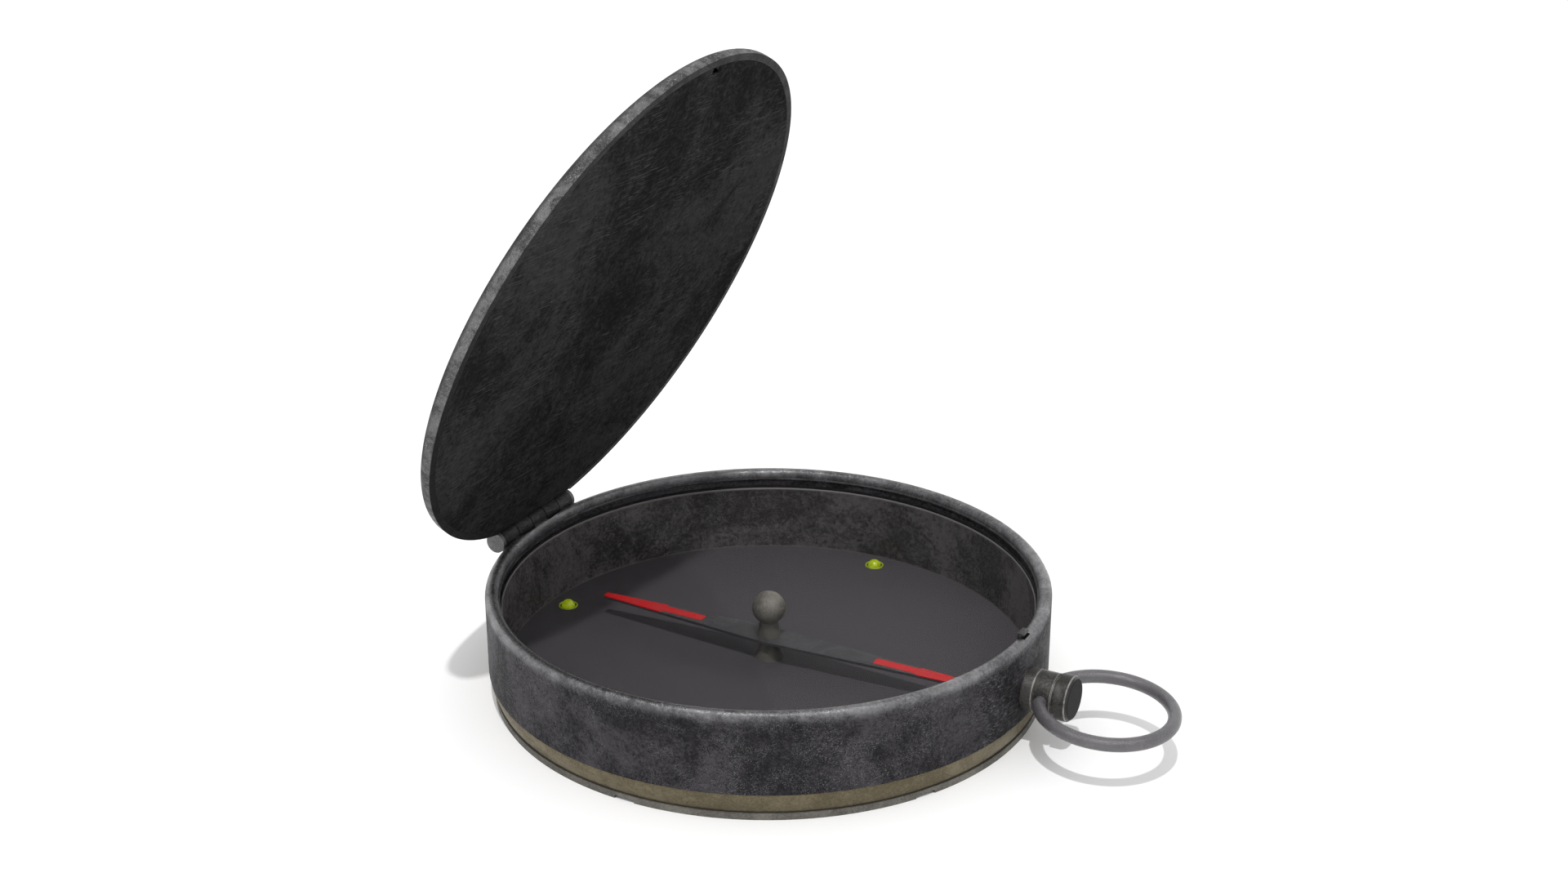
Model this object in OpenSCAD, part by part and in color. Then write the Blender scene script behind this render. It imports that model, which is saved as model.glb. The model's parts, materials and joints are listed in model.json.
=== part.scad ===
// Lidded pocket compass with a pendant button and a bow ring.
// Millimetres. Origin at the centre of the flat bottom face, +Z up,
// hinge on the -X side, pendant on the +X side, lid drawn partly open.

/* [Case] */
// Radius of the case's outer wall
case_r = 30; // [25:0.5:36]
// Height of the rim's crest, where the lid closes
case_h = 11.8; // [11.4:0.1:14.4]
// Thickness of the case's wall
case_wall = 1.4; // [1.4:0.1:1.7]
// Height of the foot under the band
foot_h = 0.7; // [0.5:0.1:0.9]
// Radius lost between the wall and the foot
foot_step = 0.55; // [0.3:0.05:0.8]
// Height of the top of the brass band
band_top = 3.05; // [2.8:0.05:3.5]
// Radius lost between the wall and the bottom of the band
band_taper = 0.75; // [0.3:0.05:0.8]
// Thickness of the band at its lower edge
band_edge = 0.25; // [0.15:0.05:0.3]
// How far the band stands inside the case's wall at its top
band_inset = 0.06; // [0.02:0.02:0.12]

/* [Back cover] */
// Width of the case's floor, which the back cover plugs
floor_w = 2.1; // [1.6:0.1:5]
// Thickness of the seal between the cover and the dial
seal_t = 0.35; // [0.25:0.05:0.45]
// Width of the seal
seal_w = 1.6; // [1:0.1:2.4]
// Number of tool notches in the foot
notch_n = 6; // [4:1:8]
// Width of one tool notch
notch_w = 2.2; // [1.5:0.1:3]
// Depth of one tool notch
notch_depth = 0.35; // [0.2:0.05:0.45]

/* [Dial and crystal] */
// Height of the dial's upper face
dial_z = 2.15; // [1.9:0.05:2.4]
// Thickness of the dial plate
dial_t = 0.65; // [0.4:0.05:0.8]
// Thickness of the spacer ring that frames the visible dial
spacer_t = 0.33; // [0.25:0.01:0.6]
// Depth of the crystal's underside below the rim's crest
crystal_depth = 1.8; // [1.65:0.05:2.1]
// Height of the dark seal under the crystal
crystal_seal_h = 0.25; // [0.2:0.05:0.35]
// How far that seal stays behind the spacer ring's inner face
crystal_seal_inset = 0.1; // [0.05:0.01:0.15]
// Thickness of the crystal
crystal_t = 0.6; // [0.5:0.05:0.7]
// Wire diameter of the crystal's snap ring
snap_d = 0.32; // [0.25:0.01:0.36]
// Room between an end of the snap ring and the catch's slot
snap_end_gap = 0.4; // [0.2:0.05:1]
// Radial clearance of what drops into the case's bore
drop_clear = 0.02; // [0.01:0.01:0.05]

/* [Luminous beads] */
// Distance of the beads' centres inside the dial's visible edge
bead_inset = 2.35; // [1.8:0.05:6]
// Number of beads
bead_n = 4; // [2:1:8]
// Diameter of one bead
bead_d = 1.5; // [1:0.05:1.7]
// Middle diameter of the wire ring around a bead
bead_ring_d = 2.0; // [1.9:0.05:2.6]
// Wire diameter of that ring
bead_wire_d = 0.2; // [0.1:0.02:0.3]

/* [Needle] */
// Height of the needle's underside above the dial
needle_rise = 2.35; // [1.8:0.05:2.7]
// Thickness of the needle
needle_t = 0.3; // [0.2:0.05:0.4]
// Gap between the long arm's tip and the spacer ring
tip_gap = 2.85; // [1.5:0.05:6]
// How much shorter the arm is that points to the hinge
arm_less = 4.6; // [0:0.1:5]
// Half of the needle's width at its middle
needle_half_w = 1.8; // [1.6:0.05:2.4]
// Half of the needle's width at a tip
tip_half_w = 0.43; // [0.3:0.01:0.7]
// Length of the head of an arrow mark
arrow_head = 7.7; // [4:0.1:9]
// Length of the shaft of an arrow mark
arrow_shaft = 5.0; // [3:0.1:6]
// Width of the shaft of an arrow mark
arrow_shaft_w = 1.2; // [0.6:0.05:1.4]
// Depth of the pocket that an arrow mark fills
arrow_depth = 0.08; // [0.05:0.01:0.12]
// How far an arrow mark stands above the needle
arrow_proud = 0.02; // [0:0.01:0.04]

/* [Pivot] */
// Diameter of the pivot post's foot
post_foot_d = 3.0; // [2.4:0.1:4]
// Diameter of the pivot post's neck
post_neck_d = 1.9; // [1:0.05:2.2]
// Gap between the pivot post and the needle
post_gap = 0.3; // [0.2:0.05:0.5]
// Diameter of the steel pivot pin
point_d = 0.5; // [0.4:0.05:0.6]
// Length of the pin's pointed end
point_tip = 0.5; // [0.4:0.05:0.6]
// Diameter of the flat at the pin's point
point_flat_d = 0.06; // [0.04:0.01:0.1]
// Height of the pin's point above the needle
point_rise = 0.75; // [0.6:0.05:0.9]
// Gap between the point and its jewel
point_gap = 0.04; // [0.02:0.01:0.08]
// Outer diameter of the jewel
jewel_d = 1.2; // [1:0.05:1.3]
// Bore of the jewel
jewel_bore_d = 0.7; // [0.64:0.02:0.8]
// Depth of that bore
jewel_bore_l = 0.5; // [0.4:0.05:0.6]
// Thickness of the jewel's closed end
jewel_cap_t = 0.4; // [0.3:0.05:0.5]
// Diameter of the hub under the ball
hub_d = 2.5; // [2.3:0.05:3]
// Diameter of the hub where it meets the ball
hub_top_d = 2.0; // [1.8:0.05:2.2]
// Thickness of the hub's wall in the needle
hub_wall = 0.35; // [0.25:0.05:0.4]
// Diameter of the ball on the hub
ball_d = 3.6; // [3:0.1:3.6]
// Gap between the ball and the crystal
ball_clear = 0.15; // [0.1:0.05:0.4]

/* [Lid] */
// How far the lid's rim stays inside the case's wall
lid_inset = 0; // [0:0.05:0.5]
// Height of the closed lid above the rim's crest
lid_h = 1.75; // [1.5:0.05:2.2]
// Thickness of the lid's plate
lid_plate = 0.5; // [0.4:0.05:0.6]
// Thickness of the lid's rim
lid_wall = 0.8; // [0.7:0.05:1]
// Gap between the closed lid and the rim's crest
lid_gap = 0.05; // [0.02:0.01:0.1]
// Radius of the lid's rounded back edge
lid_round = 1.1; // [0.4:0.05:1.2]
// Thickness of the blackened liner, flush with the rim
liner_t = 0.25; // [0.15:0.05:0.3]
// Width of the shoulder that the liner sits on
shoulder_w = 0.7; // [0.5:0.1:1.5]
// Angle of the open lid, from closed
lid_open = 65.2; // [0:0.1:105]

/* [Hinge] */
// Distance of the hinge axis outside the case's wall
hinge_out = 0.4; // [0.3:0.05:0.6]
// Outer diameter of the knuckles
knuckle_d = 2.4; // [2.2:0.05:2.6]
// Length of the whole barrel
barrel_l = 13; // [10:0.1:16]
// Gap between two knuckles
knuckle_gap = 0.12; // [0.08:0.01:0.2]
// Diameter of the hinge pin
pin_d = 1.1; // [0.9:0.05:1.2]
// Radial clearance of the pin in the lid's knuckles
pin_clear = 0.05; // [0.03:0.01:0.08]
// Thickness of a pin's head
pin_head_t = 0.5; // [0.4:0.05:0.8]
// Diameter of a pin's head
pin_head_d = 2.3; // [2:0.05:2.5]
// Clearance of the lid's knuckles in the case
knuckle_clear = 0.3; // [0.2:0.05:0.3]
// Clearance of the solder seam between the lid and its knuckles
seam_clear = 0.02; // [0.02:0.01:0.04]
// Length of the stop fin, from the hinge axis
stop_l = 2.2; // [2:0.1:2.6]
// Widest angle that the lid opens to, from closed
lid_stop = 105; // [95:1:115]

/* [Pendant] */
// Height of the pendant's axis
pendant_z = 6.0; // [5.4:0.1:6.6]
// Diameter of the pendant tube
pendant_d = 4.5; // [4.3:0.05:4.8]
// Length of the neck, up to the first groove
neck_l = 1.05; // [0.9:0.05:1.4]
// Length of the section that holds the bow
bow_section_l = 1.86; // [1.8:0.02:2.3]
// Width of the groove between the two
groove_w = 0.16; // [0.1:0.02:0.24]
// Depth of that groove
groove_depth = 0.12; // [0.08:0.02:0.2]

/* [Crown] */
// Travel of the crown
crown_travel = 0.4; // [0.35:0.01:0.45]
// Room left between the pressed crown and its tube
crown_gap = 0.02; // [0.02:0.01:0.06]
// Length of the crown
crown_l = 1.5; // [1.5:0.05:2.6]
// Chamfer on the crown's end
crown_chamfer = 0.35; // [0.2:0.05:0.5]
// Diameter of the crown
crown_d = 4.8; // [4.5:0.05:5.2]
// Diameter of the tube's spigot, which guides the crown
spigot_d = 3.9; // [3.6:0.05:3.9]
// Length of the spigot inside the resting crown
spigot_in = 0.35; // [0.3:0.05:0.4]
// Radial clearance of the spigot in the crown
spigot_clear = 0.05; // [0.03:0.01:0.08]
// Diameter of the stem
stem_d = 1.1; // [0.9:0.05:1.2]
// Radial clearance of the stem in its bore
stem_clear = 0.05; // [0.03:0.01:0.08]
// Depth of the pocket in the crown, over the spigot and the spring
crown_pocket = 1.0; // [0.9:0.05:1.05]
// Wire diameter of the crown's spring
spring_wire = 0.22; // [0.16:0.02:0.24]
// Middle diameter of the crown's spring
spring_d = 2.1; // [1.9:0.05:2.3]
// Number of turns of the crown's spring
spring_turns = 3; // [2:1:3]
// Radial clearance of the spring in the spigot
spring_clear = 0.15; // [0.1:0.05:0.2]

/* [Catch] */
// Width of the catch
catch_w = 1.4; // [1.2:0.1:2.2]
// Thickness of the catch's leaf
catch_t = 0.35; // [0.3:0.05:0.35]
// How far the leaf reaches below the stem's axis
leaf_drop = 1.1; // [0.9:0.05:1.4]
// Thickness of the case's skin outside the catch
catch_skin = 0.4; // [0.3:0.05:0.45]
// Clearance around the catch
catch_clear = 0.08; // [0.05:0.01:0.1]
// How far the catch hooks under the lid's ledge
catch_hook = 0.28; // [0.2:0.01:0.3]
// Thickness of the ledge inside the lid's rim
ledge_t = 0.15; // [0.15:0.05:0.25]
// Height of the hook
hook_h = 0.2; // [0.2:0.05:0.3]

/* [Bow ring] */
// Middle radius of the ring
bow_r = 6.75; // [6:0.05:8.5]
// Diameter of the ring's wire
bow_wire_d = 1.4; // [1.1:0.05:1.5]
// Depth of a wire end in the pendant
bow_end_depth = 0.95; // [0.7:0.05:1]
// Radial clearance of a wire end in its hole
bow_clear = 0.05; // [0.03:0.01:0.08]
// Length of the ring's straight ends outside the pendant
bow_straight = 0.35; // [0.2:0.05:0.5]
// Angle of the ring below the pendant's axis
bow_droop = 2.3; // [0:0.1:6]

/* [Hidden] */

$fn = 96;
// Overshoot that keeps cuts clear of the faces they break
e = 0.01;
// Overshoot of cuts that run out into free space
over = 1;

// Heights and radii of the case, from the foot up
bore_r = case_r - case_wall;
drop_r = bore_r - drop_clear;
floor_r = bore_r - floor_w;
dial_r = drop_r - spacer_t;
band_seat_r = case_r - band_taper - band_edge;
ledge_z = dial_z - dial_t;
seal_z = ledge_z - seal_t;
crystal_z = case_h - crystal_depth;
crystal_top = crystal_z + crystal_t;
spacer_top = crystal_z - crystal_seal_h;
snap_z = crystal_top + snap_d / 2;
crest_r = case_wall / 2;
band_steps = 8;
bead_pcd_r = dial_r - bead_inset;
bead_peg_d = bead_d / 2;
bead_peg_l = dial_t / 2;

// Needle: heights of the parts on the pivot
needle_low = dial_z + needle_rise;
needle_z = needle_low + needle_t;
arm_long = dial_r - tip_gap;
arm_short = arm_long - arm_less;
post_top_z = needle_low - post_gap;
post_tenon_d = post_neck_d / 2;
point_z = needle_z + point_rise;
jewel_low = point_z + point_gap - jewel_bore_l;
jewel_top = point_z + point_gap + jewel_cap_t;
hub_spigot_d = jewel_d + 2 * hub_wall;
ball_z = crystal_z - ball_clear - ball_d / 2;
hub_top_z = ball_z - sqrt(pow(ball_d / 2, 2) - pow(hub_top_d / 2, 2));

// Hinge: the axis lies in the plane where the lid closes
hinge_x = -(case_r + hinge_out);
hinge_z = case_h;
knuckle_n = 5;
knuckle_l = (barrel_l - (knuckle_n - 1) * knuckle_gap) / knuckle_n;
lid_r = case_r - lid_inset;
lid_z = case_h + lid_gap;
lid_top = lid_z + lid_h;
lid_bore_r = lid_r - lid_wall;

// Pendant, from the case's wall outwards
groove_x = case_r + neck_l;
bow_x = groove_x + groove_w + bow_section_l / 2;
tube_end_x = groove_x + groove_w + bow_section_l;
crown_x = tube_end_x + crown_travel + crown_gap;
crown_end_x = crown_x + crown_l;
stem_r = stem_d / 2;
stem_hole_r = stem_r + stem_clear;
spigot_bore_r = spring_d / 2 + spring_wire / 2 + spring_clear;
spigot_l = crown_travel + crown_gap + spigot_in;
crown_bore_r = spigot_d / 2 + spigot_clear;
rivet_r = stem_r / 2;

// Catch: a leaf in the wall, bridged over the crystal to a hook in the lid's rim
slot_out_x = case_r - catch_skin;
leaf_out_x = slot_out_x - catch_clear;
leaf_in_x = leaf_out_x - catch_t;
leaf_low_z = pendant_z - leaf_drop;
lid_lip_x = lid_bore_r;
hook_out_x = lid_lip_x - catch_clear;
hook_in_x = hook_out_x - catch_t;
hook_tip_x = lid_lip_x + catch_hook;
bridge_z = crystal_top + snap_d + catch_clear;
hook_z = lid_z + ledge_t + catch_clear;
slot_half_w = catch_w / 2 + catch_clear;
hook_nose = hook_h / 3;

// Bow: straight ends in the pendant, then one arc
bow_wire_r = bow_wire_d / 2;
bow_end_y = pendant_d / 2 - bow_end_depth;
bow_arc_y = pendant_d / 2 + bow_straight;
bow_centre_x = sqrt(pow(bow_r, 2) - pow(bow_arc_y, 2));
bow_arc_half = 180 - asin(bow_arc_y / bow_r);

// A flat ring standing on z
module ring(outer_r, inner_r, z, h) {
    translate([0, 0, z])
        difference() {
            cylinder(r = outer_r, h = h);
            translate([0, 0, -e]) cylinder(r = inner_r, h = h + 2 * e);
        }
}

// A cylinder along +X, starting at x
module along_x(r, x, l, z = 0) {
    translate([x, 0, z]) rotate([0, 90, 0]) cylinder(r = r, h = l);
}

// A cylinder along +Y on the hinge axis, starting at y
module on_hinge(r, y, l) {
    translate([hinge_x, y, hinge_z]) rotate([-90, 0, 0]) cylinder(r = r, h = l);
}

// Places the children at each knuckle of one leaf: 0 for the case, 1 for the lid
module each_knuckle(leaf) {
    for (i = [leaf : 2 : knuckle_n - 1])
        translate([0, -barrel_l / 2 + i * (knuckle_l + knuckle_gap), 0]) children();
}

// Turns what is drawn closed about the hinge, to the open lid
module opened() {
    translate([hinge_x, 0, hinge_z])
        rotate([0, -lid_open, 0])
            translate([-hinge_x, 0, -hinge_z])
                children();
}

// Places the children at each luminous bead
module each_bead() {
    for (i = [0 : bead_n - 1])
        rotate([0, 0, i * 360 / bead_n]) translate([bead_pcd_r, 0, dial_z]) children();
}

// Wall with a round crest, and a floor that carries the dial
module case_profile() {
    translate([bore_r, foot_h]) square([band_seat_r - bore_r, band_top - foot_h]);
    translate([floor_r, foot_h]) square([band_seat_r - floor_r, ledge_z - foot_h]);
    translate([bore_r, band_top]) square([case_wall, case_h - crest_r - band_top]);
    translate([case_r - crest_r, case_h - crest_r]) circle(r = crest_r);
}

module case_body() {
    color([0.24, 0.24, 0.25])
        difference() {
            rotate_extrude($fn = 180) case_profile();
            // Groove of the snap ring
            ring(bore_r + snap_d / 2, bore_r - over, crystal_top, snap_d);
            // Slot of the catch, open to the crest
            translate([bore_r - over, -slot_half_w, leaf_low_z - catch_clear])
                cube([slot_out_x - bore_r + over, 2 * slot_half_w, case_h]);
            along_x(stem_hole_r, slot_out_x - e, catch_skin + over, pendant_z);
            // Seats of the case's knuckles and room for the lid's
            each_knuckle(0) on_hinge(knuckle_d / 2, 0, knuckle_l);
            each_knuckle(1)
                on_hinge(knuckle_d / 2 + knuckle_clear, -knuckle_gap, knuckle_l + 2 * knuckle_gap);
            translate([0, -barrel_l / 2 - pin_head_t, 0])
                on_hinge(pin_head_d / 2, 0, pin_head_t);
            translate([0, barrel_l / 2, 0])
                on_hinge(pin_head_d / 2, 0, pin_head_t);
        }
}

// Outer face of the band, bulging between its two edges
function band_face(t) = [
    case_r - band_taper + (band_taper - band_inset) * sin(90 * t),
    foot_h + (band_top - foot_h) * t
];

module brass_band() {
    color([0.55, 0.47, 0.3])
        rotate_extrude($fn = 180)
            polygon(concat(
                [[band_seat_r, band_top], [band_seat_r, foot_h]],
                [for (i = [0 : band_steps]) band_face(i / band_steps)]
            ));
}

module back_cover() {
    color([0.2, 0.2, 0.21])
        difference() {
            union() {
                cylinder(r = case_r - foot_step, h = foot_h);
                cylinder(r = floor_r, h = seal_z);
            }
            for (i = [0 : notch_n - 1])
                rotate([0, 0, (i + 0.5) * 360 / notch_n])
                    translate([case_r - foot_step - notch_w / 2, -notch_w / 2, -e])
                        cube([notch_w, notch_w, notch_depth]);
        }
}

module cover_seal() {
    color([0.05, 0.05, 0.05]) ring(floor_r, floor_r - seal_w, seal_z, seal_t);
}

module dial_plate() {
    color([0.42, 0.42, 0.44])
        difference() {
            translate([0, 0, ledge_z]) cylinder(r = drop_r, h = dial_t);
            translate([0, 0, ledge_z - e]) cylinder(d = post_tenon_d, h = dial_t + 2 * e);
            each_bead() translate([0, 0, -bead_peg_l]) cylinder(d = bead_peg_d, h = dial_t);
        }
}

module spacer_ring() {
    color([0.22, 0.22, 0.23])
        rotate_extrude($fn = 180) {
            translate([dial_r, dial_z]) square([spacer_t, spacer_top - spacer_t / 2 - dial_z]);
            translate([dial_r + spacer_t / 2, spacer_top - spacer_t / 2]) circle(d = spacer_t);
        }
}

module crystal_seal() {
    color([0.04, 0.04, 0.04])
        ring(drop_r, dial_r + crystal_seal_inset, spacer_top, crystal_seal_h);
}

module crystal() {
    color([0.85, 0.92, 0.95, 0.3])
        translate([0, 0, crystal_z]) cylinder(r = drop_r, h = crystal_t);
}

// A sprung wire, parted where the catch passes
module snap_ring() {
    half_gap = asin((slot_half_w + snap_end_gap) / bore_r);
    color([0.35, 0.35, 0.36])
        rotate([0, 0, half_gap])
            rotate_extrude(angle = 360 - 2 * half_gap, $fn = 180)
                translate([bore_r, snap_z]) circle(d = snap_d, $fn = 32);
}

module luminous_beads() {
    color([0.6, 0.7, 0.1])
        each_bead() {
            intersection() {
                sphere(d = bead_d);
                cylinder(d = bead_d + over, h = bead_d);
            }
            translate([0, 0, -bead_peg_l]) cylinder(d = bead_peg_d, h = bead_peg_l);
        }
}

// Wire rings with a flat underside
module bead_rings() {
    color([0.55, 0.62, 0.12])
        each_bead()
            rotate_extrude()
                intersection() {
                    translate([bead_ring_d / 2, bead_wire_d / 4]) circle(d = bead_wire_d, $fn = 32);
                    square([bead_ring_d, bead_wire_d]);
                }
}

module pivot_post() {
    color([0.5, 0.49, 0.46])
        difference() {
            union() {
                translate([0, 0, dial_z])
                    cylinder(d1 = post_foot_d, d2 = post_neck_d, h = post_top_z - dial_z);
                translate([0, 0, ledge_z]) cylinder(d = post_tenon_d, h = dial_t);
            }
            translate([0, 0, dial_z]) cylinder(d = point_d, h = post_top_z);
        }
}

module pivot_pin() {
    color([0.7, 0.7, 0.72]) {
        translate([0, 0, dial_z]) cylinder(d = point_d, h = point_z - point_tip - dial_z);
        translate([0, 0, point_z - point_tip]) cylinder(
            d1 = point_d,
            d2 = point_flat_d,
            h = point_tip
        );
    }
}

module case_knuckles() {
    color([0.28, 0.28, 0.29])
        each_knuckle(0)
            difference() {
                on_hinge(knuckle_d / 2, 0, knuckle_l);
                translate([0, -e, 0]) on_hinge(pin_d / 2, 0, knuckle_l + 2 * e);
            }
}

module hinge_pin() {
    color([0.5, 0.5, 0.52]) {
        on_hinge(pin_d / 2, -barrel_l / 2, barrel_l + pin_head_t);
        on_hinge(pin_head_d / 2, -barrel_l / 2 - pin_head_t, pin_head_t);
    }
}

module pin_cap() {
    color([0.5, 0.5, 0.52])
        difference() {
            on_hinge(pin_head_d / 2, barrel_l / 2, pin_head_t);
            on_hinge(pin_d / 2, barrel_l / 2 - e, pin_head_t + 2 * e);
        }
}

// Tube soldered to the wall, with two holes for the bow's ends and a spigot for the crown
module pendant_tube() {
    color([0.26, 0.26, 0.25])
        difference() {
            union() {
                along_x(pendant_d / 2, case_r - over, tube_end_x - case_r + over, pendant_z);
                along_x(spigot_d / 2, tube_end_x, spigot_l, pendant_z);
            }
            cylinder(r = case_r, h = case_h);
            along_x(stem_hole_r, case_r - over - e, tube_end_x, pendant_z);
            along_x(spigot_bore_r, tube_end_x, spigot_l + over, pendant_z);
            difference() {
                along_x(pendant_d / 2 + over, groove_x, groove_w, pendant_z);
                along_x(pendant_d / 2 - groove_depth, groove_x - e, groove_w + 2 * e, pendant_z);
            }
            for (side = [-1, 1])
                translate([bow_x, side * (bow_end_y - bow_clear), pendant_z])
                    rotate([-90 * side, 0, 0])
                        cylinder(r = bow_wire_r + bow_clear, h = pendant_d);
        }
}

// Shallow pan with a rounded back edge and a shoulder for the liner, drawn closed
module lid_profile() {
    liner_top = lid_z + liner_t;
    difference() {
        union() {
            translate([0, lid_z]) square([lid_r, lid_h - lid_round]);
            translate([0, lid_z]) square([lid_r - lid_round, lid_h]);
            translate([lid_r - lid_round, lid_top - lid_round]) circle(r = lid_round);
        }
        // Nothing of the rounding reaches below the plane where the lid closes
        translate([0, lid_z - lid_round]) square([lid_r + over, lid_round]);
        translate([-over, lid_z - over]) square([lid_bore_r + over, liner_t + over]);
        translate([-over, liner_top - e])
            square([lid_bore_r - shoulder_w + over, lid_h - lid_plate - liner_t + e]);
    }
}

// Room for what stands still at the hinge: the case's knuckles and the pin's heads
module hinge_room() {
    each_knuckle(0)
        on_hinge(knuckle_d / 2 + knuckle_clear, -knuckle_gap, knuckle_l + 2 * knuckle_gap);
    for (y = [-barrel_l / 2 - pin_head_t - knuckle_gap, barrel_l / 2])
        on_hinge(pin_head_d / 2 + knuckle_clear, y, pin_head_t + knuckle_gap);
}

module lid_shell() {
    color([0.2, 0.2, 0.21])
        opened()
            difference() {
                rotate_extrude($fn = 180) lid_profile();
                // Pocket over the ledge that the catch hooks
                translate([lid_lip_x - over, -slot_half_w, lid_z + ledge_t])
                    cube([
                        catch_hook + catch_clear + over,
                        2 * slot_half_w,
                        lid_h - lid_plate - ledge_t
                    ]);
                hinge_room();
                each_knuckle(1) on_hinge(knuckle_d / 2 + seam_clear, 0, knuckle_l);
            }
}

module lid_liner() {
    color([0.1, 0.1, 0.1])
        opened()
            difference() {
                translate([0, 0, lid_z]) cylinder(r = lid_bore_r - drop_clear, h = liner_t);
                // Notch that the catch's hook moves in
                translate([hook_in_x - crown_travel - catch_clear, -slot_half_w, lid_z - e])
                    cube([lid_wall + crown_travel + over, 2 * slot_half_w, liner_t + 2 * e]);
                hinge_room();
            }
}

// Knuckles seated in the lid's rim, with fins that stop the lid against the wall
module lid_knuckles() {
    fin_turn = 270 - lid_stop;
    color([0.28, 0.28, 0.29])
        opened()
            each_knuckle(1)
                difference() {
                    union() {
                        on_hinge(knuckle_d / 2, 0, knuckle_l);
                        translate([hinge_x, 0, hinge_z])
                            rotate([0, -fin_turn, 0])
                                translate([0, 0, -hinge_out + catch_clear / 2])
                                    cube([stop_l, knuckle_l, 2 * hinge_out - catch_clear]);
                    }
                    translate([0, -e, 0]) on_hinge(pin_d / 2 + pin_clear, 0, knuckle_l + 2 * e);
                }
}

module needle_outline() {
    polygon([
        [-arm_short, -tip_half_w], [0, -needle_half_w], [arm_long, -tip_half_w],
        [arm_long, tip_half_w], [0, needle_half_w], [-arm_short, tip_half_w]
    ]);
}

// An arrow mark on the arm that points along +X: head to the tip, shaft to the pivot
module arrow_outline(arm) {
    intersection() {
        union() {
            translate([arm - arrow_head, -needle_half_w]) square([arrow_head, 2 * needle_half_w]);
            translate([arm - arrow_head - arrow_shaft, -arrow_shaft_w / 2])
                square([arrow_shaft + e, arrow_shaft_w]);
        }
        polygon([[0, -needle_half_w], [arm, -tip_half_w], [arm, tip_half_w], [0, needle_half_w]]);
    }
}

module arrow_mark(arm, z, h) {
    translate([0, 0, z]) linear_extrude(h) arrow_outline(arm);
}

module compass_needle() {
    color([0.42, 0.42, 0.44])
        difference() {
            translate([0, 0, needle_low]) linear_extrude(needle_t) needle_outline();
            translate([0, 0, needle_low - e]) cylinder(d = hub_spigot_d, h = needle_t + 2 * e);
            arrow_mark(arm_long, needle_z - arrow_depth, needle_t);
            rotate([0, 0, 180]) arrow_mark(arm_short, needle_z - arrow_depth, needle_t);
        }
}

module short_arm_arrow() {
    color([0.72, 0.1, 0.11])
        rotate([0, 0, 180])
            arrow_mark(arm_short, needle_z - arrow_depth, arrow_depth + arrow_proud);
}

module long_arm_arrow() {
    color([0.72, 0.1, 0.11])
        arrow_mark(arm_long, needle_z - arrow_depth, arrow_depth + arrow_proud);
}

module needle_hub() {
    color([0.48, 0.47, 0.44])
        difference() {
            union() {
                translate([0, 0, needle_z])
                    cylinder(d1 = hub_d, d2 = hub_top_d, h = hub_top_z - needle_z);
                translate([0, 0, needle_low]) cylinder(d = hub_spigot_d, h = needle_t);
            }
            translate([0, 0, needle_low - e]) cylinder(d = jewel_d, h = jewel_top - needle_low + e);
            translate([0, 0, ball_z]) sphere(d = ball_d);
        }
}

module jewel() {
    color([0.6, 0.12, 0.2])
        difference() {
            translate([0, 0, jewel_low]) cylinder(d = jewel_d, h = jewel_top - jewel_low);
            translate([0, 0, jewel_low - e])
                cylinder(d = jewel_bore_d, h = point_z + point_gap - jewel_low + e);
        }
}

module hub_ball() {
    color([0.5, 0.49, 0.46]) translate([0, 0, ball_z]) sphere(d = ball_d);
}

module crown() {
    color([0.2, 0.2, 0.2])
        difference() {
            union() {
                along_x(crown_d / 2, crown_x, crown_l - crown_chamfer, pendant_z);
                translate([crown_end_x - crown_chamfer, 0, pendant_z])
                    rotate([0, 90, 0])
                        cylinder(
                            d1 = crown_d,
                            d2 = crown_d - 2 * crown_chamfer,
                            h = crown_chamfer
                        );
            }
            along_x(crown_bore_r, crown_x - e, crown_pocket + e, pendant_z);
            along_x(stem_r, crown_x, crown_l - crown_chamfer, pendant_z);
        }
}

// Stem from the catch's leaf to the crown, with a rivet through the leaf
module crown_stem() {
    color([0.55, 0.55, 0.57]) {
        along_x(stem_r, leaf_out_x, crown_end_x - crown_chamfer - leaf_out_x, pendant_z);
        along_x(rivet_r, leaf_in_x, catch_t, pendant_z);
    }
}

// One ring of a helical wire's section
function coil_ring(a, z, sides) = [
    for (k = [0 : sides - 1])
        let (
            s = k * 360 / sides,
            r = spring_d / 2 + spring_wire / 2 * cos(s)
        )
        [r * cos(a), r * sin(a), z + spring_wire / 2 * sin(s)]
];

// Open helix along +Z from 0 to l
module coil(l) {
    sides = 8;
    steps = 20 * spring_turns;
    rise = l - spring_wire;
    points = [
        for (i = [0 : steps])
            each coil_ring(360 * spring_turns * i / steps, spring_wire / 2 + rise * i / steps, sides)
    ];
    walls = [
        for (i = [0 : steps - 1], k = [0 : sides - 1])
            let (k2 = (k + 1) % sides)
            [i * sides + k, (i + 1) * sides + k, (i + 1) * sides + k2, i * sides + k2]
    ];
    caps = [
        [for (k = [0 : sides - 1]) k],
        [for (k = [sides - 1 : -1 : 0]) steps * sides + k]
    ];
    polyhedron(points, concat(walls, caps));
}

module crown_spring() {
    color([0.6, 0.6, 0.62])
        translate([tube_end_x, 0, pendant_z])
            rotate([0, 90, 0])
                coil(crown_x + crown_pocket - tube_end_x);
}

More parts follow.
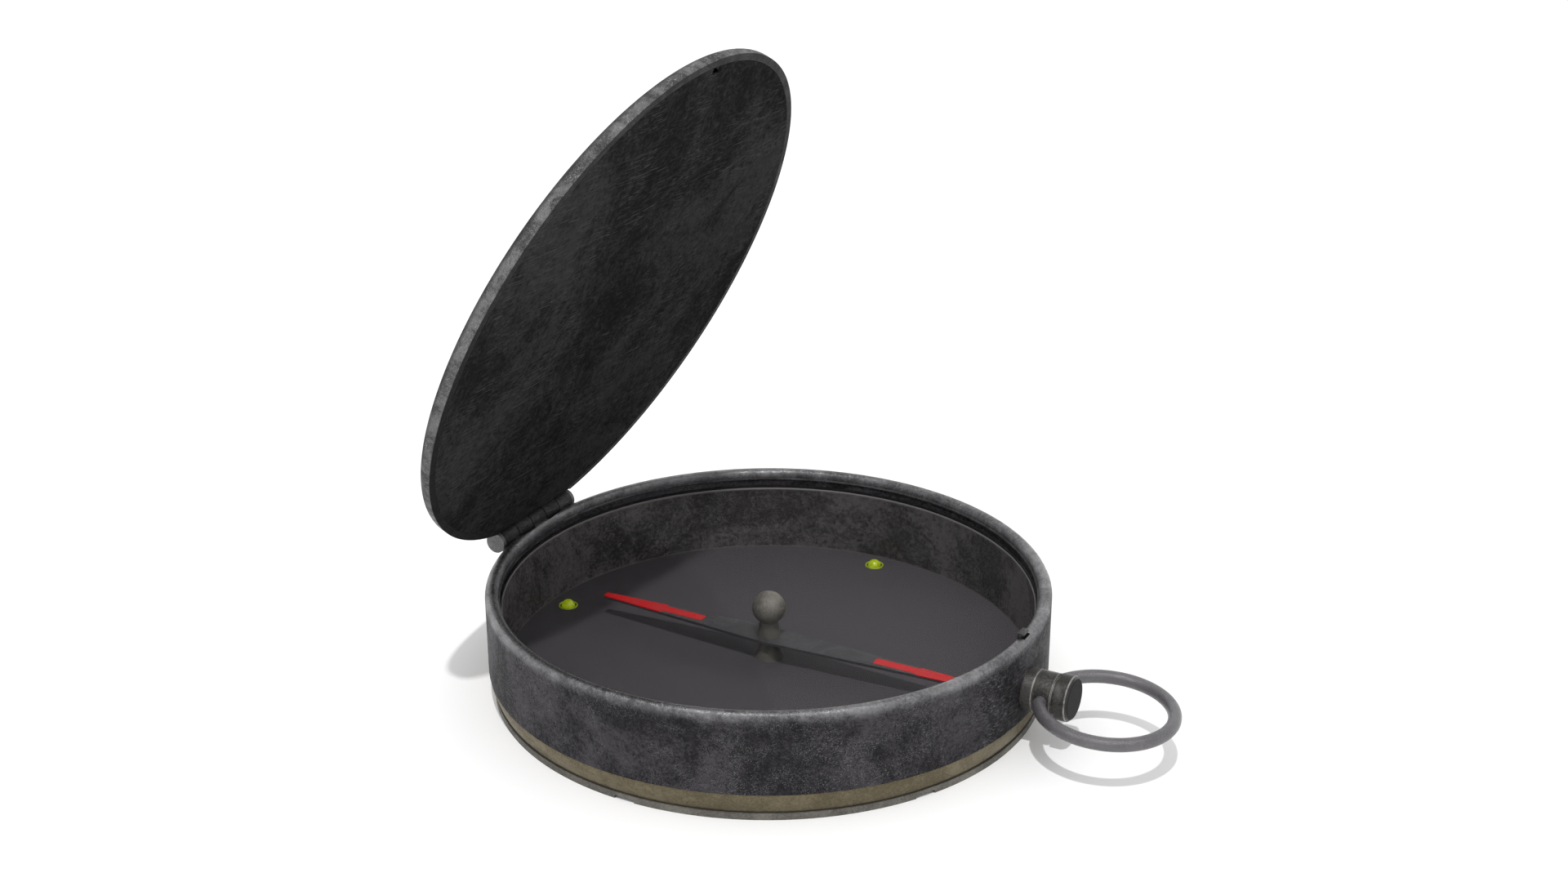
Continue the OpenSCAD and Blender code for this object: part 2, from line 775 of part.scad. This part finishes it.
module lid_catch() {
    color([0.32, 0.32, 0.33])
        difference() {
            translate([0, catch_w / 2, 0])
                rotate([90, 0, 0])
                    linear_extrude(catch_w)
                        polygon([
                            [leaf_in_x, leaf_low_z], [leaf_out_x, leaf_low_z],
                            [leaf_out_x, bridge_z + catch_t], [hook_out_x, bridge_z + catch_t],
                            [hook_out_x, hook_z], [hook_tip_x, hook_z],
                            [hook_tip_x, hook_z + hook_nose], [hook_out_x, hook_z + hook_h],
                            [hook_in_x, hook_z + hook_h], [hook_in_x, bridge_z],
                            [leaf_in_x, bridge_z]
                        ]);
            along_x(rivet_r, leaf_in_x - over, catch_t + 2 * over, pendant_z);
        }
}

module bow_ring() {
    color([0.43, 0.42, 0.43])
        translate([bow_x, 0, pendant_z])
            rotate([0, bow_droop, 0]) {
                translate([bow_centre_x, 0, 0])
                    rotate([0, 0, -bow_arc_half])
                        rotate_extrude(angle = 2 * bow_arc_half)
                            translate([bow_r, 0]) circle(r = bow_wire_r, $fn = 48);
                for (side = [-1, 1])
                    translate([0, side * bow_end_y, 0])
                        rotate([-90 * side, 0, 0]) {
                            cylinder(r = bow_wire_r, h = bow_arc_y - bow_end_y);
                            translate([0, 0, bow_arc_y - bow_end_y]) sphere(r = bow_wire_r);
                        }
            }
}

case_body();
brass_band();
back_cover();
cover_seal();
dial_plate();
spacer_ring();
crystal_seal();
crystal();
snap_ring();
luminous_beads();
bead_rings();
pivot_post();
pivot_pin();
case_knuckles();
hinge_pin();
pin_cap();
pendant_tube();
lid_shell();
lid_liner();
lid_knuckles();
compass_needle();
short_arm_arrow();
long_arm_arrow();
needle_hub();
jewel();
hub_ball();
crown();
crown_stem();
crown_spring();
lid_catch();
bow_ring();
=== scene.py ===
"""Looks of the lidded pocket compass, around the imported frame.

Finishes for every CAD node, a smooth spring for the crown, light and camera. Lengths are in metres,
those of the lens and the sensor aside.
"""

import json
import math

import bpy
from mathutils import Matrix, Vector


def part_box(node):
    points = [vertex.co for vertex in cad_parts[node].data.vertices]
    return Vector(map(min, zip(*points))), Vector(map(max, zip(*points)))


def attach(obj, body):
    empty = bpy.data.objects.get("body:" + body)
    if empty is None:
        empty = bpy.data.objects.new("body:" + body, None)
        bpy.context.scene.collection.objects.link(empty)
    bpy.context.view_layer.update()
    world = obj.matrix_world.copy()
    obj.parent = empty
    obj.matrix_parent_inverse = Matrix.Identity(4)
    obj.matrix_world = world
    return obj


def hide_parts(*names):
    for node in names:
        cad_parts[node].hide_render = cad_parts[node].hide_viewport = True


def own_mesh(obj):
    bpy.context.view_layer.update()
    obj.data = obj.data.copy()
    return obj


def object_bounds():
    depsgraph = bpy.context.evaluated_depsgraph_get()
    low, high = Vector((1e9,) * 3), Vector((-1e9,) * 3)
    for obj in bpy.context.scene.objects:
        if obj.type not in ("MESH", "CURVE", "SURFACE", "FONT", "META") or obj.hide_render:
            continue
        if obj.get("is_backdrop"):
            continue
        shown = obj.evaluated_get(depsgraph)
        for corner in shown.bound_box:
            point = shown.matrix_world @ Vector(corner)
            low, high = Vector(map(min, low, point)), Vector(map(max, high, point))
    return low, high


MM = 0.001

# Pendant: length of its neck, from the wall to the groove, and distance of its tube from the crown
NECK_LENGTH = 1.05 * MM
TUBE_TO_CROWN = 0.42 * MM
# Painted highlight line at the back edge of the crown's chamfer, from the crown's end
CHAMFER_LINE = 0.33 * MM

# The crown's spring: its wire and turns, steps in a turn and sides of the wire
SPRING_WIRE_RADIUS = 0.11 * MM
SPRING_TURNS = 3
SPRING_STEPS_A_TURN = 36
SPRING_SIDES = 12

# Studio: half the floor's side, and the key lamp's direction, distance, size and power
FLOOR_REACH = 6.0
WORLD_STRENGTH = 0.95
KEY_TOWARDS = (0.2, -0.42, 1.0)
KEY_DISTANCE = 0.9
KEY_SIZE = 0.03
KEY_ENERGY = 4.0

# Camera: lens and sensor in mm, its place, and its own back and side directions
LENS, SENSOR = 50.0, 36.0
CAMERA_PLACE = (0.100434, -0.183447, 0.112584)
CAMERA_BACK = (0.43834, -0.81560, 0.37769)
CAMERA_SIDE = (0.880845, 0.473404, 0.0)

# Plain metals: dark and light colour, roughness, metallic, and the clouds' size and specular level
CLOUD, LEVEL = 3 * MM, 0.3
METALS = {
    "gunmetal_foot": ((0.075, 0.070, 0.063), (0.16, 0.15, 0.13), 0.6, 0.1, CLOUD, LEVEL),
    "needle_grey": ((0.041, 0.039, 0.042), (0.050, 0.048, 0.052), 0.5, 0.0, CLOUD, LEVEL),
    "pale_metal": ((0.075, 0.072, 0.063), (0.125, 0.12, 0.105), 0.5, 0.2, CLOUD, LEVEL),
    "ball_metal": ((0.095, 0.088, 0.077), (0.18, 0.168, 0.148), 0.5, 0.2, CLOUD, LEVEL),
    "pin_steel": ((0.10, 0.10, 0.10), (0.17, 0.17, 0.17), 0.4, 0.8, CLOUD, LEVEL),
    "hinge_steel": ((0.012, 0.012, 0.012), (0.04, 0.04, 0.04), 0.4, 0.7, CLOUD, LEVEL),
    "bow_steel": ((0.085, 0.081, 0.087), (0.115, 0.110, 0.117), 0.22, 0.2, 4 * MM, 0.7),
    "bright_steel": ((0.3, 0.3, 0.3), (0.5, 0.5, 0.5), 0.25, 1.0, CLOUD, LEVEL),
    "dark_steel": ((0.02, 0.02, 0.021), (0.07, 0.07, 0.072), 0.5, 0.4, CLOUD, LEVEL),
}


def find_joint(name):
    """The frame's joint of that name."""
    return next(joint for joint in frame["joints"] if joint["name"] == name)


# ---------------------------------------------------------------- node trees


class Finish:
    """One procedural material, with short calls for the nodes that every finish here is made of."""

    def __init__(self, name, **uniform):
        """uniform holds the numbers that are the same all over, by socket name with _ for a space."""
        self.material = bpy.data.materials.new(name)
        self.material.use_nodes = True
        tree = self.material.node_tree
        self.nodes, self.links = tree.nodes, tree.links
        self.shader = self.nodes["Principled BSDF"]
        for socket, value in uniform.items():
            self.shader.inputs[socket.replace("_", " ")].default_value = value
        self.place = self.add("TexCoord").outputs["Object"]
        self.seed = 0.0
        self.bent = self.warp(6 * MM, 0.8 * MM)

    def add(self, kind, inputs=None, **settings):
        node = self.nodes.new("ShaderNode" + kind)
        for key, value in settings.items():
            setattr(node, key, value)
        for key, value in (inputs or {}).items():
            self.put(node.inputs[key], value)
        return node

    def put(self, socket, value):
        if isinstance(value, bpy.types.NodeSocket):
            self.links.new(value, socket)
        else:
            socket.default_value = value

    def set(self, **sockets):
        """Links sockets of the shader, by name with _ for a space."""
        for socket, value in sockets.items():
            self.put(self.shader.inputs[socket.replace("_", " ")], value)

    def math(self, operation, a, b=0.0, clamp=False):
        return self.add("Math", {0: a, 1: b}, operation=operation, use_clamp=clamp).outputs[0]

    def band(self, value, low, high, out_low=0.0, out_high=1.0):
        """value from low to high as out_low to out_high, eased and held at the ends."""
        names = ("Value", "From Min", "From Max", "To Min", "To Max")
        inputs = dict(zip(names, (value, low, high, out_low, out_high)))
        return self.add("MapRange", inputs, interpolation_type="SMOOTHSTEP").outputs["Result"]

    def mix(self, share, a, b):
        """Colour a where share is 0 and b where it is 1."""
        colours = [(*c, 1.0) if isinstance(c, tuple) and len(c) == 3 else c for c in (a, b)]
        inputs = {0: share, 6: colours[0], 7: colours[1]}
        return self.add("Mix", inputs, data_type="RGBA").outputs[2]

    def warp(self, size, reach):
        """The place, bent by clouds of that size, up to about half of reach."""
        clouds = self.add("TexNoise", {"Vector": self.place, "Scale": 1.0 / size, "Detail": 1.0})
        middle = (0.5, 0.5, 0.5)
        off = self.add("VectorMath", {0: clouds.outputs["Color"], 1: middle}, operation="SUBTRACT")
        off = self.add("VectorMath", {0: off.outputs[0], "Scale": reach}, operation="SCALE")
        moved = self.add("VectorMath", {0: self.place, 1: off.outputs[0]}, operation="ADD")
        return moved.outputs[0]

    def moved(self, stretch=(1, 1, 1), turn=(0, 0, 0), start=None):
        """The place, turned, stretched and shifted by a new amount each time."""
        self.seed += 1.37
        inputs = {
            "Vector": start or self.place,
            "Scale": stretch,
            "Rotation": turn,
            "Location": (self.seed, self.seed * 0.7, self.seed * 1.9),
        }
        return self.add("Mapping", inputs).outputs["Vector"]

    def noise(self, size, detail=5.0, rough=0.6, distortion=0.0, stretch=(1, 1, 1), turn=(0, 0, 0)):
        """Clouds whose largest lumps are about size metres across."""
        inputs = {
            "Vector": self.moved(stretch, turn),
            "Scale": 1.0 / size,
            "Detail": detail,
            "Roughness": rough,
            "Distortion": distortion,
        }
        return self.add("TexNoise", inputs).outputs["Fac"]

    def scratches(self, across, along, turn, cut):
        """Fine short hairlines in one direction, 1 on a line and 0 off it."""
        vector = self.moved((1, across / along, 1), turn, self.bent)
        inputs = {"Vector": vector, "Scale": 1.0 / across, "Detail": 1.0, "Roughness": 0.5}
        return self.band(self.add("TexNoise", inputs).outputs["Fac"], cut, cut + 0.12)

    def scribble(self, across, along, cut=0.6):
        """Hairlines in several directions together, in patches."""
        total = 0.0
        for turn in ((0.3, 0.5, 0.2), (1.2, 0.4, 1.9), (0.8, 2.0, 1.0), (2.2, 1.1, 2.7)):
            total = self.math("MAXIMUM", self.scratches(across, along, turn, cut), total)
        return self.math("MULTIPLY", total, self.band(self.noise(along * 1.5, 3.0), 0.42, 0.62))

    def height(self):
        """Height above the object's flat bottom, in metres."""
        return self.add("SeparateXYZ", {0: self.place}).outputs["Z"]

    def depth(self, point, direction):
        """How far the place lies from a plane through point, along direction, in metres."""
        off = self.add("VectorMath", {0: self.place, 1: point}, operation="SUBTRACT").outputs[0]
        inputs = {0: off, 1: direction}
        return self.add("VectorMath", inputs, operation="DOT_PRODUCT").outputs["Value"]

    def bump(self, height, distance, strength=1.0):
        inputs = {"Height": height, "Distance": distance, "Strength": strength}
        self.set(Normal=self.add("Bump", inputs).outputs["Normal"])


def weathered(name, dark, light, rough=0.45, cloud=5 * MM, scratch=0.10, metal=0.6, level=0.3):
    """Oxidised metal: dark and light clouds, broken scratches and a matching roughness."""
    f = Finish(name, Metallic=metal, Specular_IOR_Level=level)
    broad = f.band(f.noise(cloud * 2.0, 5.0, 0.65, 0.8), 0.32, 0.70, 0.0, 0.40)
    middle = f.band(f.noise(cloud * 0.35, 12.0, 0.85, 2.5), 0.34, 0.66, 0.0, 0.30)
    fine = f.band(f.noise(cloud * 0.06, 6.0, 0.8), 0.34, 0.66, 0.0, 0.30)
    cloudy = f.band(f.math("ADD", f.math("ADD", broad, middle), fine), 0.22, 0.78)
    short = f.scribble(0.10 * MM, cloud * 0.3, 0.63)
    long = f.scribble(0.14 * MM, cloud * 1.2, 0.65)
    lines = f.math("MAXIMUM", short, long)
    colour = f.mix(cloudy, dark, light)
    bright = tuple(min(1.0, c + scratch) for c in light)
    f.colour = f.mix(f.math("MULTIPLY", lines, 0.7), colour, bright)
    f.cloudy = cloudy
    f.set(Base_Color=f.colour, Roughness=f.band(cloudy, 0.0, 1.0, rough + 0.1, rough - 0.08))
    relief = f.math("SUBTRACT", cloudy, f.math("MULTIPLY", lines, 0.3))
    f.bump(relief, 0.03 * MM, 0.5)
    return f


# ---------------------------------------------------------------- finishes


def gunmetal_case():
    """Case wall: clouded gunmetal, rubbed pale at its crest."""
    dark, light = (0.010, 0.0092, 0.0105), (0.050, 0.0465, 0.0520)
    f = weathered("gunmetal", dark, light, 0.6, 5 * MM, 0.11, 0.0, 0.08)
    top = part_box("case_body")[1].z
    patchy = f.noise(2.5 * MM, 6.0, 0.7)
    reach = f.math("ADD", f.height(), f.math("MULTIPLY", patchy, 1.6 * MM))
    wear_and_highlight = f.band(reach, top - 0.6 * MM, top + 1.3 * MM)
    rubbed = f.mix(f.cloudy, (0.15, 0.147, 0.153), (0.34, 0.336, 0.344))
    f.set(Base_Color=f.mix(f.math("MULTIPLY", wear_and_highlight, 0.85), f.colour, rubbed))
    smooth = f.band(f.cloudy, 0.0, 1.0, 0.62, 0.5)
    polished = f.band(f.height(), top - 0.45 * MM, top - 0.1 * MM)
    shine = f.math("ADD", f.math("MULTIPLY", wear_and_highlight, 0.2), f.math("MULTIPLY", polished, 0.16))
    f.set(
        Roughness=f.math("SUBTRACT", smooth, shine),
        Metallic=f.math("MAXIMUM", f.math("MULTIPLY", wear_and_highlight, 0.4), f.math("MULTIPLY", polished, 0.85)),
    )
    return f.material


def gunmetal_inner():
    """Spacer ring: dark mottled wall with a painted highlight along its round top edge, and a paler
    foot.
    """
    dark, light = (0.022, 0.0198, 0.0205), (0.125, 0.113, 0.117)
    f = weathered("gunmetal_inner", dark, light, 0.5, 6 * MM, 0.08, 0.2, 0.2)
    low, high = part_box("spacer_ring")
    # Painted highlight: the rounded top edge is painted pale.
    highlight_edge = f.band(f.height(), high.z - 0.35 * MM, high.z - 0.08 * MM)
    foot = f.band(f.height(), low.z + 0.25 * MM, low.z + 0.02 * MM)
    colour = f.mix(highlight_edge, f.colour, (0.16, 0.15, 0.152))
    f.set(Base_Color=f.mix(f.math("MULTIPLY", foot, 0.5), colour, (0.2, 0.19, 0.18)))
    return f.material


def gunmetal_lid():
    """Lid: grey speckled wall between a black lip and a dark rounded back."""
    f = weathered("gunmetal_lid", (0.03, 0.03, 0.03), (0.15, 0.15, 0.15), 0.55, 1.4 * MM, 0.16, 0.0, 0.1)
    hinge = find_joint("lid_hinge")
    tilt = math.radians(-hinge["range_deg"][0])
    depth = f.depth(hinge["pos_m"], (-math.sin(tilt), 0.0, math.cos(tilt)))
    back = f.band(depth, 0.9 * MM, 1.5 * MM)
    lip = f.band(depth, 0.16 * MM, 0.07 * MM)
    backing = f.mix(f.cloudy, (0.015, 0.015, 0.015), (0.055, 0.055, 0.055))
    colour = f.mix(back, f.colour, backing)
    f.set(Base_Color=f.mix(lip, colour, (0.014, 0.014, 0.014)))
    return f.material


def worn_brass():
    """Brass band with its edges broken up, and dark grime in them."""
    f = weathered("worn_brass", (0.095, 0.078, 0.044), (0.165, 0.138, 0.082), 0.5, 4 * MM, 0.05, 0.4)
    low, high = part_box("brass_band")
    ragged = f.math("MULTIPLY", f.noise(1.2 * MM, 6.0, 0.7), 0.5 * MM)
    below = f.band(f.math("SUBTRACT", f.height(), ragged), low.z + 0.1 * MM, low.z - 0.15 * MM)
    above = f.band(f.math("ADD", f.height(), ragged), high.z + 0.2 * MM, high.z + 0.35 * MM)
    grime = f.math("MAXIMUM", below, above)
    f.set(Base_Color=f.mix(f.math("MULTIPLY", grime, 0.7), f.colour, (0.035, 0.033, 0.032)))
    return f.material


def pendant_metal():
    """Dark satin steel, with painted highlights in pale lines at its groove and at its end."""
    f = weathered("pendant_steel", (0.028, 0.027, 0.025), (0.085, 0.082, 0.077), 0.34, 3 * MM, 0.06, 0.7)
    x = f.add("SeparateXYZ", {0: f.place}).outputs["X"]
    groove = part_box("case_body")[1].x + NECK_LENGTH
    tube_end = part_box("crown")[0].x - TUBE_TO_CROWN
    total = 0.0
    # Painted highlights: thin pale lines at the groove and at the tube's end, broken up by clouds.
    for place in (groove, tube_end):
        away = f.math("ABSOLUTE", f.math("SUBTRACT", x, place))
        total = f.math("MAXIMUM", f.band(away, 0.07 * MM, 0.02 * MM), total)
    wear_and_highlight = f.math("MULTIPLY", total, f.band(f.noise(0.6 * MM, 3.0), 0.3, 0.6, 0.3, 1.0))
    f.set(Base_Color=f.mix(wear_and_highlight, f.colour, (0.45, 0.44, 0.42)))
    return f.material


def crown_metal():
    """The same steel, with a painted highlight along the chamfer's back edge and painted shade on the
    crown's end.
    """
    f = weathered("crown_steel", (0.026, 0.025, 0.024), (0.08, 0.077, 0.073), 0.36, 2.5 * MM, 0.06, 0.6)
    x = f.add("SeparateXYZ", {0: f.place}).outputs["X"]
    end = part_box("crown")[1].x
    away = f.math("ABSOLUTE", f.math("SUBTRACT", x, end - CHAMFER_LINE))
    # Painted highlight: a pale line along the chamfer's back edge.
    highlight_edge = f.band(away, 0.10 * MM, 0.03 * MM)
    wear_and_highlight = f.math("MULTIPLY", highlight_edge, f.band(f.noise(0.7 * MM, 3.0), 0.35, 0.6, 0.25, 0.8))
    # Painted shade: the crown's end face is painted near black, with less metal and more roughness.
    shaded_end = f.band(x, end - 0.12 * MM, end - 0.02 * MM)
    colour = f.mix(wear_and_highlight, f.colour, (0.36, 0.355, 0.34))
    f.set(
        Base_Color=f.mix(f.math("MULTIPLY", shaded_end, 0.95), colour, (0.008, 0.008, 0.008)),
        Metallic=f.math("MULTIPLY", f.math("SUBTRACT", 1.0, shaded_end), 0.6),
        Roughness=f.band(shaded_end, 0.0, 1.0, 0.36, 0.8),
    )
    return f.material


def plain_metal(name):
    """One of METALS, with hairlines a little lighter than its light colour."""
    dark, light, rough, metal, cloud, level = METALS[name]
    return weathered(name, dark, light, rough, cloud, 0.06, metal, level).material


def liner_black():
    """Dull black of the lid's inner face, with broad faint clouds."""
    dark, light = (0.012, 0.012, 0.012), (0.037, 0.037, 0.037)
    return weathered("liner_black", dark, light, 0.8, 9 * MM, 0.04, 0.0, 0.0).material


def dial_grey():
    """Satin paint, with faint large clouds and fine dust."""
    f = Finish("dial_grey", Metallic=0.0, Specular_IOR_Level=0.08)
    clouds = f.noise(9 * MM, 4.0, 0.5, 0.4)
    colour = f.mix(f.band(clouds, 0.3, 0.75), (0.064, 0.0585, 0.064), (0.069, 0.063, 0.069))
    dust = f.band(f.noise(0.3 * MM, 1.0), 0.80, 0.85)
    f.set(
        Base_Color=f.mix(f.math("MULTIPLY", dust, 0.3), colour, (0.2, 0.2, 0.2)),
        Roughness=f.band(clouds, 0.3, 0.7, 0.5, 0.62),
    )
    f.bump(clouds, 0.01 * MM, 0.1)
    return f.material


def red_enamel():
    """Red enamel with faint clouds in its colour and gloss."""
    f = Finish("red_enamel", Specular_IOR_Level=0.3)
    clouds = f.noise(1.5 * MM, 4.0)
    f.set(
        Base_Color=f.mix(f.band(clouds, 0.35, 0.7), (0.42, 0.003, 0.005), (0.52, 0.005, 0.007)),
        Roughness=f.band(clouds, 0.3, 0.7, 0.4, 0.55),
    )
    f.bump(clouds, 0.004 * MM, 0.3)
    return f.material


def luminous(name, deep, bright, glow):
    """Glossy green that glows faintly."""
    soft = {"Subsurface_Weight": 0.2, "Subsurface_Scale": 0.3 * MM}
    f = Finish(name, Specular_IOR_Level=0.6, Emission_Strength=glow, **soft)
    f.shader.inputs["Emission Color"].default_value = (*bright, 1.0)
    clouds = f.noise(0.6 * MM, 3.0)
    f.set(
        Base_Color=f.mix(f.band(clouds, 0.3, 0.7), deep, bright),
        Roughness=f.band(clouds, 0.3, 0.7, 0.12, 0.22),
    )
    return f.material


def crystal_glass():
    """Almost clear glass, which shows by its gloss and a faint smear."""
    f = Finish("crystal_glass", Roughness=0.03, Specular_IOR_Level=0.3, Alpha=0.04)
    smear = f.noise(6 * MM, 3.0)
    f.set(Base_Color=f.mix(smear, (0.010, 0.012, 0.012), (0.02, 0.022, 0.022)))
    return f.material


def rubber():
    """Dull black rubber."""
    f = Finish("black_rubber", Specular_IOR_Level=0.2)
    clouds = f.noise(1 * MM, 4.0)
    f.set(
        Base_Color=f.mix(clouds, (0.006, 0.006, 0.006), (0.014, 0.014, 0.014)),
        Roughness=f.band(clouds, 0.3, 0.7, 0.7, 0.85),
    )
    return f.material


def ruby():
    """Polished red jewel."""
    f = Finish("ruby_jewel", Specular_IOR_Level=0.8, Coat_Weight=0.5)
    clouds = f.noise(0.5 * MM, 3.0)
    f.set(
        Base_Color=f.mix(clouds, (0.25, 0.01, 0.03), (0.4, 0.02, 0.06)),
        Roughness=f.band(clouds, 0.3, 0.7, 0.08, 0.16),
    )
    return f.material


def paint(names, material):
    """Gives the CAD nodes in names, parted by spaces, that material alone."""
    for name in names.split():
        mesh = frame["nodes"][name].data
        mesh.materials.clear()
        mesh.materials.append(material)


def finish_nodes():
    """Paints every CAD node, and returns the bright steel for the spring."""
    green = luminous("luminous_green", (0.17, 0.23, 0.003), (0.38, 0.48, 0.006), 0.3)
    wire = luminous("green_wire", (0.18, 0.23, 0.01), (0.34, 0.42, 0.015), 0.12)
    bright = plain_metal("bright_steel")
    paint("case_body", gunmetal_case())
    paint("spacer_ring", gunmetal_inner())
    paint("snap_ring lid_catch", plain_metal("dark_steel"))
    paint("brass_band", worn_brass())
    paint("back_cover", plain_metal("gunmetal_foot"))
    paint("lid_shell", gunmetal_lid())
    paint("lid_liner", liner_black())
    paint("dial_plate", dial_grey())
    paint("compass_needle", plain_metal("needle_grey"))
    paint("short_arm_arrow long_arm_arrow", red_enamel())
    paint("luminous_beads", green)
    paint("bead_rings", wire)
    paint("crystal", crystal_glass())
    paint("cover_seal crystal_seal", rubber())
    paint("pivot_post needle_hub", plain_metal("pale_metal"))
    paint("hub_ball", plain_metal("ball_metal"))
    paint("hinge_pin pin_cap", plain_metal("pin_steel"))
    paint("case_knuckles lid_knuckles", plain_metal("hinge_steel"))
    paint("pendant_tube", pendant_metal())
    paint("crown", crown_metal())
    paint("bow_ring", plain_metal("bow_steel"))
    paint("pivot_pin crown_stem", bright)
    paint("jewel", ruby())
    return bright


# ---------------------------------------------------------------- the crown's spring


def crown_spring(material):
    """A smooth helix of round wire, at its rest length, where the CAD model has a coarse one; the crown
    bears on it.
    """
    low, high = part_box("crown_spring")
    wire, sides = SPRING_WIRE_RADIUS, SPRING_SIDES
    count = SPRING_TURNS * SPRING_STEPS_A_TURN
    coil = (high.z - low.z) / 2 - wire
    middle = (low.z + high.z) / 2
    length = high.x - low.x - 2 * wire
    mesh = bpy.data.meshes.new("crown_spring_coil")
    points, faces = [], []
    for i in range(count + 1):
        angle = 2 * math.pi * i / SPRING_STEPS_A_TURN
        x = low.x + wire + length * i / count
        for k in range(sides):
            around = 2 * math.pi * k / sides
            reach = coil + wire * math.cos(around)
            y, z = reach * math.sin(angle), middle + reach * math.cos(angle)
            points.append((x + wire * math.sin(around), y, z))
    for i in range(count):
        for k in range(sides):
            a, b = i * sides + k, i * sides + (k + 1) % sides
            faces.append((a, b, b + sides, a + sides))
    faces.append(tuple(range(sides - 1, -1, -1)))
    faces.append(tuple(count * sides + k for k in range(sides)))
    mesh.from_pydata(points, [], faces)
    mesh.shade_smooth()
    mesh.materials.append(material)
    spring = bpy.data.objects.new("crown_spring_coil", mesh)
    bpy.context.scene.collection.objects.link(spring)
    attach(spring, "case")
    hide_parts("crown_spring")
    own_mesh(spring)


# ---------------------------------------------------------------- studio


def studio():
    """White surroundings, a pale floor and one small key lamp, high on the camera's side."""
    world = bpy.data.worlds.new("studio")
    bpy.context.scene.world = world
    world.use_nodes = True
    background = world.node_tree.nodes["Background"]
    background.inputs["Color"].default_value = (1, 1, 1, 1)
    background.inputs["Strength"].default_value = WORLD_STRENGTH

    reach = FLOOR_REACH
    mesh = bpy.data.meshes.new("floor")
    corners = [(-reach, -reach, 0), (reach, -reach, 0), (reach, reach, 0), (-reach, reach, 0)]
    mesh.from_pydata(corners, [], [(0, 1, 2, 3)])
    floor = bpy.data.objects.new("floor", mesh)
    bpy.context.scene.collection.objects.link(floor)
    pale = Finish("floor_white", Specular_IOR_Level=0.0)
    pale.set(Base_Color=pale.mix(pale.noise(0.2, 2.0), (0.9, 0.9, 0.9), (0.92, 0.92, 0.92)))
    mesh.materials.append(pale.material)
    floor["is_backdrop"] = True

    lo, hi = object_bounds()
    centre = (lo + hi) / 2
    towards = Vector(KEY_TOWARDS).normalized()
    lamp = bpy.data.lights.new("key", "AREA")
    lamp.shape = "DISK"
    lamp.size = KEY_SIZE
    lamp.energy = KEY_ENERGY
    key = bpy.data.objects.new("key", lamp)
    key.location = centre + towards * KEY_DISTANCE
    key.rotation_euler = (-towards).to_track_quat("-Z", "Y").to_euler()
    bpy.context.scene.collection.objects.link(key)


def camera():
    """The camera, in front of the case and above it, looking down at the dial."""
    data = bpy.data.cameras.new("camera")
    data.lens, data.sensor_width = LENS, SENSOR
    data.clip_start, data.clip_end = 0.01, 20.0
    seen = bpy.data.objects.new("camera", data)
    back = Vector(CAMERA_BACK).normalized()
    side = Vector(CAMERA_SIDE).normalized()
    turn = Matrix((side, back.cross(side), back)).transposed()
    seen.matrix_world = Matrix.Translation(CAMERA_PLACE) @ turn.to_4x4()
    bpy.context.scene.collection.objects.link(seen)
    bpy.context.scene.camera = seen


# ---------------------------------------------------------------- the scene

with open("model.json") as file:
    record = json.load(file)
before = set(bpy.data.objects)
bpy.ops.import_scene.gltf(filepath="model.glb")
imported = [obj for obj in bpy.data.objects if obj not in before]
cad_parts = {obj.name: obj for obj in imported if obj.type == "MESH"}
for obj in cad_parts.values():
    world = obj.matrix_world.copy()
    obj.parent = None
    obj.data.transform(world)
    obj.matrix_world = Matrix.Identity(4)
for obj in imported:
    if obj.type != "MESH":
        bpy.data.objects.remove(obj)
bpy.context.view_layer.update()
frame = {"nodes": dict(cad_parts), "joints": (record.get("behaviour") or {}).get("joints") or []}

crown_spring(finish_nodes())
studio()
camera()
bpy.context.scene.view_settings.view_transform = "Standard"
